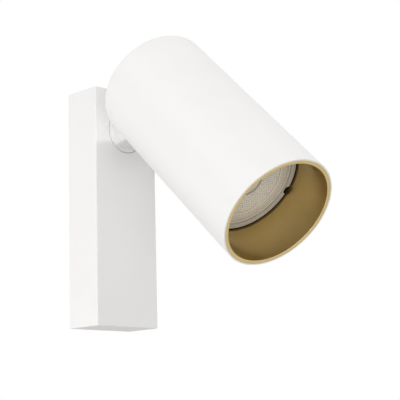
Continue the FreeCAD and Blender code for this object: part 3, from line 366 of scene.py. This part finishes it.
def striped_core(name):
    """Green and yellow insulation."""
    look = Look(name)
    wave = look.nodes.new("ShaderNodeTexWave")
    wave.inputs["Scale"].default_value = 1 / STRIPE
    wave.inputs["Distortion"].default_value = STRIPE_WANDER
    look.links.new(look.place, wave.inputs["Vector"])
    look.colour(wave.outputs["Fac"], EARTH_GREEN, EARTH_YELLOW, STRIPE_EDGE)
    look.roughness(look.noise(1.5 * MM), 0.4, 0.5)
    look.bump(look.noise(0.3 * MM, detail=2), distance=0.006 * MM)
    return look.material


LOOKS = {
    "white_coat": powder_coat("white_coat", WHITE),
    "white_screw": powder_coat("white_screw", tinted(WHITE, 0.97)),
    "gold_anodised": gold_anodised("gold_anodised", GOLD, GOLD_DEEP, rough=0.28),
    # darker and brighter copies of the gold, for painted shade and painted light
    "gold_painted_shade": gold_anodised("gold_painted_shade", GOLD_PAINTED_SHADE, tinted(GOLD_PAINTED_SHADE, 0.9), rough=0.4),
    "gold_painted_light": gold_anodised("gold_painted_light", GOLD_PAINTED_LIGHT, tinted(GOLD_PAINTED_LIGHT, 0.95), rough=0.38),
    "zinc_steel": bright_metal("zinc_steel", ZINC, rough=0.26),
    "spring_steel": bright_metal("spring_steel", SPRING_GREY, rough=0.34),
    "brass": bright_metal("brass", BRASS, rough=0.24),
    "tinned_metal": bright_metal("tinned_metal", TIN, rough=0.2),
    "black_rubber": moulded("black_rubber", RUBBER_BLACK, rough=0.7, grain=0.25, depth=0.02, gloss=0.3),
    "terminal_plastic": moulded("terminal_plastic", TERMINAL_CREAM, rough=0.42),
    "nylon": moulded("nylon", NYLON_CREAM, rough=0.4),
    "fibre": moulded("fibre", FIBRE_RED, rough=0.75, grain=0.2, depth=0.02, gloss=0.3),
    "ceramic": moulded("ceramic", CERAMIC_CREAM, rough=0.6, grain=0.3, depth=0.02, gloss=0.4),
    "lamp_grey": moulded("lamp_grey", LAMP_GREY, rough=0.45, grain=0.3, depth=0.008),
    "lamp_lens": clear_optic("lamp_lens", LENS),
    # a darker copy of the lens, for painted shade
    "lens_painted_shade": clear_optic("lens_painted_shade", LENS_PAINTED_SHADE),
    # a lighter copy of the lens, for painted highlight on the beads
    "lens_bead_painted_light": clear_optic("lens_bead_painted_light", LENS_BEAD_PAINTED_LIGHT),
    # near black, for painted shade in gaps
    "gap_painted_shade": moulded("gap_painted_shade", GAP_PAINTED_SHADE, rough=0.8, grain=0.25, depth=0.01, gloss=0.1),
    "lamp_white": moulded("lamp_white", LAMP_WHITE, rough=0.45),
    "board_white": moulded("board_white", BOARD_WHITE, rough=0.35),
    "board_green": moulded("board_green", BOARD_GREEN, rough=0.35),
    "lead_sheath": moulded("lead_sheath", SHEATH_WHITE, grain=0.4, depth=0.012),
    "core_insulation": moulded("core_insulation", CORE_BROWN, rough=0.38, grain=0.3, depth=0.006),
    "core_blue": moulded("core_blue", CORE_BLUE, rough=0.38, grain=0.3, depth=0.006),
    "earth_insulation": striped_core("earth_insulation"),
}


def dress(item, slot):
    """Give a piece or a CAD node one look."""
    item.data.materials.clear()
    item.data.materials.append(LOOKS[slot])
    item.data.polygons.foreach_set("material_index", [0] * len(item.data.polygons))


for part in frame["record"]["subparts"]:
    dress(NODES[part["node"]], part["material_slot"])


def stands_for(item, node, body, slot):
    """Put a detailed piece in the place of a CAD node."""
    dress(item, slot)
    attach(item, body)
    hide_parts(node)


def add_zone(item, look, inside):
    """Give another look to the faces of a head piece that lie inside a zone of radius, height and angle."""
    item.data.materials.append(LOOKS[look])
    index = len(item.data.materials) - 1
    to_head = HEAD.inverted()
    for face in item.data.polygons:
        x, y, z = to_head @ face.center
        if inside(math.hypot(x, y), z, math.atan2(y, x)):
            face.material_index = index


# ---- gold sleeve and ring: heights are along the head's axis, from its rear ---------------------

SLEEVE_INNER = 25.6 * MM
SLEEVE_OUTER = 26.4 * MM
SLEEVE_BACK = MOUTH - 30 * MM
SLEEVE_ROUND = 0.18 * MM
FLANGE_OUTER = 27.25 * MM
FLANGE_BACK = MOUTH - 0.8 * MM
# the sleeve has black painted shade below the first of these heights, darker painted shade up to the
# second, and painted light above the third
GAP_SHADE_EDGE = LAMP_FACE - 0.1 * MM
PAINTED_SHADE_EDGE = LAMP_FACE + 1.2 * MM
PAINTED_LIGHT_EDGE = MOUTH - 0.15 * MM
SLEEVE_SIDES = 256


def front_baffle():
    """The sleeve in the mouth, and the flange at its front, whose face is the ring: painted shade on the
    sleeve near the lamp, painted light on the ring.
    """
    corners = [
        (SLEEVE_INNER, SLEEVE_BACK), (SLEEVE_OUTER, SLEEVE_BACK), (SLEEVE_OUTER, FLANGE_BACK),
        (FLANGE_OUTER, FLANGE_BACK), (FLANGE_OUTER, MOUTH), (SLEEVE_INNER, MOUTH),
        (SLEEVE_INNER, PAINTED_SHADE_EDGE), (SLEEVE_INNER, GAP_SHADE_EDGE),
    ]
    sleeve = lathe("gold_sleeve", softened(corners, SLEEVE_ROUND), SLEEVE_SIDES, HEAD)
    stands_for(sleeve, "front_baffle", "head", "gold_anodised")
    # painted shade near the lamp, black painted shade behind its face, painted light on the ring
    add_zone(sleeve, "gold_painted_shade", lambda radius, height, angle: height < PAINTED_SHADE_EDGE)
    add_zone(sleeve, "gap_painted_shade", lambda radius, height, angle: height < GAP_SHADE_EDGE)
    add_zone(sleeve, "gold_painted_light", lambda radius, height, angle: height > PAINTED_LIGHT_EDGE)


# ---- lamp's bezel -----------------------------------------------------------------------------

BEZEL_INNER = 22.3 * MM
BEZEL_OUTER = 25.0 * MM
BEZEL_BACK = LAMP_FACE - 1.6 * MM
BEZEL_STEP = 24.2 * MM
BEZEL_FLAT = 22.75 * MM
BEZEL_SINK = 0.12 * MM
BEZEL_GROOVE = 0.9 * MM
BEZEL_ROUND = 0.12 * MM
BEZEL_SIDES = 768
NOTCH_HALF = 2.0 * MM
NOTCH_DEPTH = 1.8 * MM
NOTCH_ANGLE = math.radians(-1)
NOTCH_TOP = LAMP_FACE - BEZEL_SINK - 0.1 * MM
NOTCH_SQUARENESS = 4


def notch_distance(angle):
    """How far round the bezel's edge a place is from the middle of the notch."""
    turn = (angle - NOTCH_ANGLE + math.pi) % math.tau - math.pi
    return abs(turn) * BEZEL_OUTER


def in_notch(radius, height, angle):
    """Whether a face is a wall of the notch, below the bezel's own face; these walls get black painted
    shade.
    """
    return height < NOTCH_TOP and radius > BEZEL_FLAT and notch_distance(angle) < NOTCH_HALF


def notched(radius, height, angle):
    """Draw the bezel's outer wall in where the notch is, with round inner corners."""
    across = notch_distance(angle)
    if across > NOTCH_HALF or radius < BEZEL_OUTER - NOTCH_DEPTH:
        return radius, height
    bow = math.sqrt(max(0, 1 - (across / NOTCH_HALF) ** NOTCH_SQUARENESS))
    floor = BEZEL_OUTER - NOTCH_DEPTH * bow
    return min(radius, floor), height


def lamp_bezel():
    """A flat ring with a rounded outer edge, a stepped inner ledge and one notch."""
    corners = [
        (BEZEL_INNER, BEZEL_BACK), (BEZEL_OUTER, BEZEL_BACK), (BEZEL_OUTER, LAMP_FACE),
        (BEZEL_STEP, LAMP_FACE), (BEZEL_STEP, LAMP_FACE - BEZEL_SINK),
        (BEZEL_FLAT, LAMP_FACE - BEZEL_SINK), (BEZEL_FLAT, LAMP_FACE - BEZEL_GROOVE),
        (BEZEL_INNER, LAMP_FACE - BEZEL_GROOVE),
    ]
    bezel = lathe("lamp_ring", softened(corners, BEZEL_ROUND), BEZEL_SIDES, HEAD, shape=notched)
    stands_for(bezel, "lamp_bezel", "head", "lamp_grey")
    # black painted shade on the notch's walls
    add_zone(bezel, "gap_painted_shade", in_notch)


# ---- lamp's lens ------------------------------------------------------------------------------

LENS_TOP = LAMP_FACE - 0.5 * MM
LENS_THICKNESS = 2.0 * MM
LENS_BACK = LENS_TOP - LENS_THICKNESS
LENS_MIDDLE = LENS_TOP - LENS_THICKNESS / 2
LENS_OUTLINE = (
    # radius, and height above or below the lens's top, both in millimetres
    # the hollow in the middle and its wall
    (0.0, -0.90), (3.0, -0.90), (6.6, -0.90), (6.9, -0.88), (7.15, -0.75), (7.3, -0.04), (7.6, 0.0),
    # the flat ring under the beads
    (8.2, 0.0), (15.7, 0.0), (16.25, 0.0), (16.4, 0.0),
    # the inner groove and the low ridge round it
    (16.55, -0.14), (16.8, -0.16), (17.0, -0.14), (17.2, 0.05), (17.4, 0.14), (17.7, 0.14), (17.85, 0.06),
    # the ring that the ribs stand on
    (17.9, -0.05), (18.0, -0.05), (20.8, -0.05), (20.9, -0.05),
    # the outer groove, the rim and the side
    (21.0, -0.22), (21.45, -0.22), (21.65, -0.05), (21.8, 0.02), (22.0, 0.02), (22.1, -0.1), (22.15, -0.9),
    (22.25, -2.0),
)
PAINTED_SHADE_RINGS = (
    # inner and outer radius of the hollow's wall and of the two grooves, which get painted shade
    (6.95 * MM, 7.3 * MM), (16.5 * MM, 16.9 * MM), (20.95 * MM, 21.6 * MM),
)

RIBS = 144
RIB_INNER = 17.9 * MM
RIB_OUTER = 20.9 * MM
RIB_HEIGHT = 0.22 * MM
# between two ribs, where painted shade goes, is where the cosine that raises them is below this
RIB_GAP = -0.6
LENS_SIDES = RIBS * 6

BEAD_PITCH = 1.12 * MM
BEAD_RADIUS = 0.50 * MM
BEAD_HEIGHT = 0.32 * MM
BEAD_SINK = 0.01 * MM
BEAD_SIDES = 8
BEAD_SHARP = 80
BEAD_RINGS = (
    # share of the bead's radius, and share of its height
    (1.0, 0.0), (0.62, 0.72),
)
BEADS_FROM = 8.1 * MM
BEADS_TO = 15.8 * MM


def ribbed(radius, height, angle):
    """Raise fine radial ribs between two radii."""
    if not RIB_INNER < radius < RIB_OUTER:
        return radius, height
    return radius, height + RIB_HEIGHT * (1 + math.cos(RIBS * angle)) / 2


def deep(radius, height, angle):
    """Whether a place on the lens gets painted shade: between two ribs, in the hollow's wall or a groove,
    or on the floor under the beads.
    """
    if RIB_INNER < radius < RIB_OUTER:
        return math.cos(RIBS * angle) < RIB_GAP
    if any(inner < radius < outer for inner, outer in PAINTED_SHADE_RINGS):
        return True
    return BEADS_FROM < radius < BEADS_TO and height > LENS_MIDDLE


def add_bead(mesh, x, y):
    """One small lens on the flat ring: a low dome of two rings and a top."""
    base = LENS_TOP - BEAD_SINK
    rings = []
    for share, rise in BEAD_RINGS:
        ring = []
        for i in range(BEAD_SIDES):
            angle = math.tau * i / BEAD_SIDES
            reach = BEAD_RADIUS * share
            place = (x + reach * math.cos(angle), y + reach * math.sin(angle), base + BEAD_HEIGHT * rise)
            ring.append(mesh.verts.new(place))
        rings.append(ring)
    top = mesh.verts.new((x, y, base + BEAD_HEIGHT))
    low, high = rings
    for i in range(BEAD_SIDES):
        j = (i + 1) % BEAD_SIDES
        mesh.faces.new((low[i], low[j], high[j], high[i]))
        mesh.faces.new((high[i], high[j], top))


def lens_beads():
    """Hexagonally packed small lenses on the flat ring between the hollow and the inner groove."""
    mesh = bmesh.new()
    row_height = BEAD_PITCH * math.sqrt(3) / 2
    # as many rows and columns on each side of the middle as the outermost row needs
    count = math.ceil(BEADS_TO / row_height)
    for row in range(-count, count + 1):
        for column in range(-count, count + 1):
            x = (column + (row % 2) / 2) * BEAD_PITCH
            y = row * row_height
            if BEADS_FROM < math.hypot(x, y) < BEADS_TO:
                add_bead(mesh, x, y)
    beads = finish_mesh("lens_beads", mesh, HEAD, BEAD_SHARP)
    # the beads are a lighter copy of the lens, painted highlight
    dress(beads, "lens_bead_painted_light")
    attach(beads, "head")


def lamp_lens():
    """A disc with a hollow, two grooves, a ridge and a ring of ribs."""
    outline = [(radius * MM, LENS_TOP + height * MM) for radius, height in LENS_OUTLINE]
    outline.append((0, LENS_BACK))
    lens = lathe("lamp_optic", outline, LENS_SIDES, HEAD, closed=False, shape=ribbed)
    stands_for(lens, "lamp_lens", "head", "lamp_lens")
    # painted shade in the grooves, on the hollow's wall, between the ribs and under the beads
    add_zone(lens, "lens_painted_shade", deep)


front_baffle()
lamp_bezel()
lamp_lens()
lens_beads()


# ---- leads ------------------------------------------------------------------------------------

SHEATH_RADIUS = 2.0 * MM
CORE_RADIUS = 0.8 * MM
# routes in millimetres: the first five in the frame's axes, the last three in the head's
BASE_LEAD = ((0, -9.9, 38.1), (0, -4.0, 38.1), (0, -4.0, 24.1))
LIVE_CORE = ((-0.87, -4.5, 24.1), (-0.87, -4.5, 20.35), (-8.5, -6.5, 6.0), (-8.5, -6.5, -1.0))
NEUTRAL_CORE = ((0, -3.0, 24.1), (0, -3.0, 20.35), (0, -6.5, 6.0), (0, -6.5, -1.0))
EARTH_CORE = ((0.87, -4.5, 24.1), (0.87, -4.5, 20.35), (5, -3.8, 6.25), (10, -3.1, 6.25), (10, -3.1, 10.8))
SWIVEL_LEAD = ((0, -10.2, 38.1), (0, -21.2, 38.1), (0, -32.7, 38.1))
HEAD_LEAD = ((0, -19.5, 7.4), (0, -19.5, 14.0), (0, -19.5, 20.4))
LEFT_CORE = ((-1, -19.5, 20.4), (-1, -19.5, 24.4), (-2.5, -13, 24.4), (-2.5, -10, 24.4))
RIGHT_CORE = ((1, -19.5, 20.4), (1, -19.5, 24.4), (2.5, -13, 24.4), (2.5, -10, 24.4))


def core_pair(name, routes, node, body, matrix=Matrix.Identity(4)):
    """A brown and a blue core, in the place of a CAD node."""
    cores = tube(name, routes, CORE_RADIUS, matrix)
    owners = [face.material_index for face in cores.data.polygons]
    stands_for(cores, node, body, "core_insulation")
    cores.data.materials.append(LOOKS["core_blue"])
    cores.data.polygons.foreach_set("material_index", owners)


def leads():
    """The lead's three sheathed sections and the cores at its two ends."""
    stands_for(tube("wall_lead", [BASE_LEAD], SHEATH_RADIUS), "base_lead", "wall_base", "lead_sheath")
    core_pair("wall_cores", [LIVE_CORE, NEUTRAL_CORE], "base_cores", "wall_base")
    stands_for(tube("earth_wire", [EARTH_CORE], CORE_RADIUS), "earth_core", "wall_base", "earth_insulation")
    stands_for(tube("stem_lead", [SWIVEL_LEAD], SHEATH_RADIUS), "swivel_lead", "swivel", "lead_sheath")
    stands_for(tube("tube_lead", [HEAD_LEAD], SHEATH_RADIUS, HEAD), "head_lead", "head", "lead_sheath")
    core_pair("lamp_cores", [LEFT_CORE, RIGHT_CORE], "holder_cores", "head", HEAD)


leads()


# ---- camera -----------------------------------------------------------------------------------

CAMERA_PLACE = Vector((-0.39571, -0.47956, -0.10948))
CAMERA_YAW = math.radians(44.20)
CAMERA_PITCH = math.radians(10.53)
CAMERA_ROLL = math.radians(-1.43)
CAMERA_LENS = 113.1
CAMERA_SENSOR = 36
CLIP_START = 0.02
CLIP_END = 60


def camera():
    """The photograph's camera, level at first and then turned, pitched and rolled."""
    data = bpy.data.cameras.new("camera")
    data.lens = CAMERA_LENS
    data.sensor_width = CAMERA_SENSOR
    data.clip_start = CLIP_START
    data.clip_end = CLIP_END
    item = bpy.data.objects.new("camera", data)
    turn = Matrix.Rotation(-CAMERA_YAW, 4, "Z")
    turn = turn @ Matrix.Rotation(math.pi / 2 + CAMERA_PITCH, 4, "X")
    turn = turn @ Matrix.Rotation(CAMERA_ROLL, 4, "Z")
    item.matrix_world = Matrix.Translation(CAMERA_PLACE) @ turn
    bpy.context.scene.collection.objects.link(item)
    bpy.context.scene.camera = item


camera()


# ---- light, background and floor --------------------------------------------------------------

AIM = Vector((0, -0.05, 0.01))
LIGHTS = (
    # name, direction from the aim, distance and size in metres, and level
    ("left_softbox", (-0.94, -0.33, -0.05), 1.6, 1.1, 0.27),
    ("rear_softbox", (-0.8, 0.5, -0.25), 1.6, 1.1, 0.30),
    ("right_softbox", (0.85, -0.6, 0.45), 1.6, 1.1, 0.12),
    ("key_light", (0.0, -1.0, 1.6), 1.6, 0.12, 0.27),
    ("front_fill", (-0.45, -0.9, -0.3), 1.8, 1.2, 0.20),
)
# what the background gives to the part, and what the camera and the reflections see of it
AMBIENT = 0.49
SEEN_WHITE = 1.0
FLOOR_DROP = 1.2
FLOOR_HALF = 6.0
FLOOR_COLOUR = (0.82, 0.82, 0.82)


def lamp(name, direction, distance, size, level):
    """A square soft light: level is what it adds to a white surface that faces it."""
    data = bpy.data.lights.new(name, "AREA")
    data.size = size
    data.energy = level * math.pi ** 2 * distance ** 2
    item = bpy.data.objects.new(name, data)
    towards = Vector(direction).normalized()
    item.location = AIM + towards * distance
    item.rotation_mode = "QUATERNION"
    item.rotation_quaternion = towards.to_track_quat("Z", "Y")
    bpy.context.scene.collection.objects.link(item)


def world():
    """White where the camera and the reflections look, and a plain level on everything else."""
    made = bpy.data.worlds.new("studio")
    made.use_nodes = True
    nodes = made.node_tree.nodes
    links = made.node_tree.links

    def either(first, second):
        """Whether at least one of two kinds of ray is meant."""
        node = nodes.new("ShaderNodeMath")
        node.operation = "MAXIMUM"
        links.new(first, node.inputs[0])
        links.new(second, node.inputs[1])
        return node.outputs["Value"]

    path = nodes.new("ShaderNodeLightPath")
    seen = either(path.outputs["Is Camera Ray"], path.outputs["Is Glossy Ray"])
    clear = either(seen, path.outputs["Is Transmission Ray"])
    strength = nodes.new("ShaderNodeMapRange")
    strength.inputs["To Min"].default_value = AMBIENT
    strength.inputs["To Max"].default_value = SEEN_WHITE
    links.new(clear, strength.inputs["Value"])
    background = nodes["Background"]
    background.inputs["Color"].default_value = (1, 1, 1, 1)
    links.new(strength.outputs["Result"], background.inputs["Strength"])
    bpy.context.scene.world = made


def floor():
    """A pale floor below the light, out of the main view."""
    mesh = bmesh.new()
    height = CAD_BOX[0].z - FLOOR_DROP
    corners = ((-1, -1), (1, -1), (1, 1), (-1, 1))
    mesh.faces.new([mesh.verts.new((x * FLOOR_HALF, y * FLOOR_HALF, height)) for x, y in corners])
    item = finish_mesh("floor", mesh)
    look = Look("floor")
    look.colour(look.noise(400 * MM, detail=2), tinted(FLOOR_COLOUR, 0.98), FLOOR_COLOUR)
    look.roughness(look.noise(100 * MM), 0.7, 0.8)
    look.bump(look.noise(4 * MM, detail=2), distance=0.1 * MM)
    item.data.materials.append(look.material)


for light in LIGHTS:
    lamp(*light)
world()
floor()

bpy.context.scene.view_settings.view_transform = "Standard"
